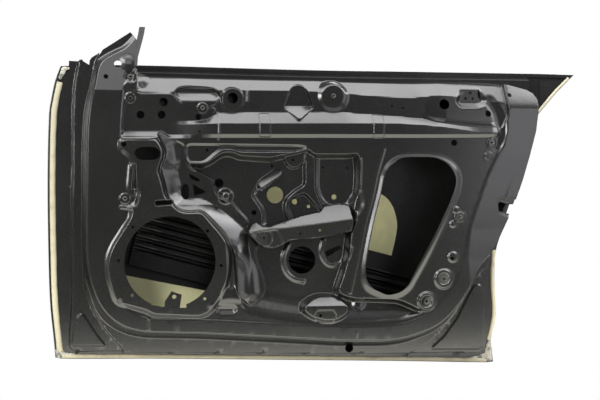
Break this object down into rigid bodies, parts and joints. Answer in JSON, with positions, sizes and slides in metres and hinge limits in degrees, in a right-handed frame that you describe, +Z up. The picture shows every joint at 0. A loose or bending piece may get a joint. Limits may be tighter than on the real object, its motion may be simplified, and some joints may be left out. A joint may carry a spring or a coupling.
{
  "type": "car door shell",
  "caption": "Bare right-hand front door shell for a two-door car: pressed inner panel, hemmed outer skin, belt rails and side impact beam, without glass or fittings.",
  "frame": {"origin": "middle of the upper hinge's seat on the front shut wall", "axes": "+X towards the car's rear, +Y out of the car through the outer skin, +Z up"},
  "size_m": [1.2455, 0.1459, 0.7635],
  "materials": {
    "pressed_primer": "semi-gloss dark grey electrocoat",
    "skin_primer": "semi-gloss dark grey electrocoat",
    "sealant": "matt cream",
    "damping_pad": "matt pale yellow green",
    "nut_steel": "satin plated"
  },
  "bodies": {
    "root": {"inner_panel": "pressed_primer", "outer_belt_reinforcement": "pressed_primer", "inner_belt_reinforcement": "pressed_primer", "side_impact_beam": "pressed_primer", "beam_bracket_front": "pressed_primer", "beam_bracket_rear": "pressed_primer", "upper_hinge_reinforcement": "pressed_primer", "lower_hinge_reinforcement": "pressed_primer", "latch_reinforcement": "pressed_primer", "mirror_reinforcement": "pressed_primer", "rear_corner_reinforcement": "pressed_primer", "window_channel_bracket": "pressed_primer", "speaker_tab": "pressed_primer", "armrest_bracket": "pressed_primer", "outer_panel": "skin_primer", "hem_sealant_front": "sealant", "hem_sealant_bottom": "sealant", "hem_sealant_rear": "sealant", "hem_sealant_top_rear": "sealant", "sealant_dab_top_front": "sealant", "sealant_dab_low_front": "sealant", "sealant_dab_low_rear": "sealant", "upper_damping_pad": "damping_pad", "lower_damping_pad": "damping_pad", "sail_weld_nut": "nut_steel", "plate_weld_nut": "nut_steel", "pillar_weld_nut": "nut_steel", "speaker_weld_nut": "nut_steel", "belt_weld_nut_mid": "nut_steel", "belt_weld_nut_front": "nut_steel", "latch_weld_nut_upper": "nut_steel", "latch_weld_nut_mid": "nut_steel", "handle_weld_nut_upper": "nut_steel", "handle_weld_nut_lower": "nut_steel"}
  },
  "joints": []
}
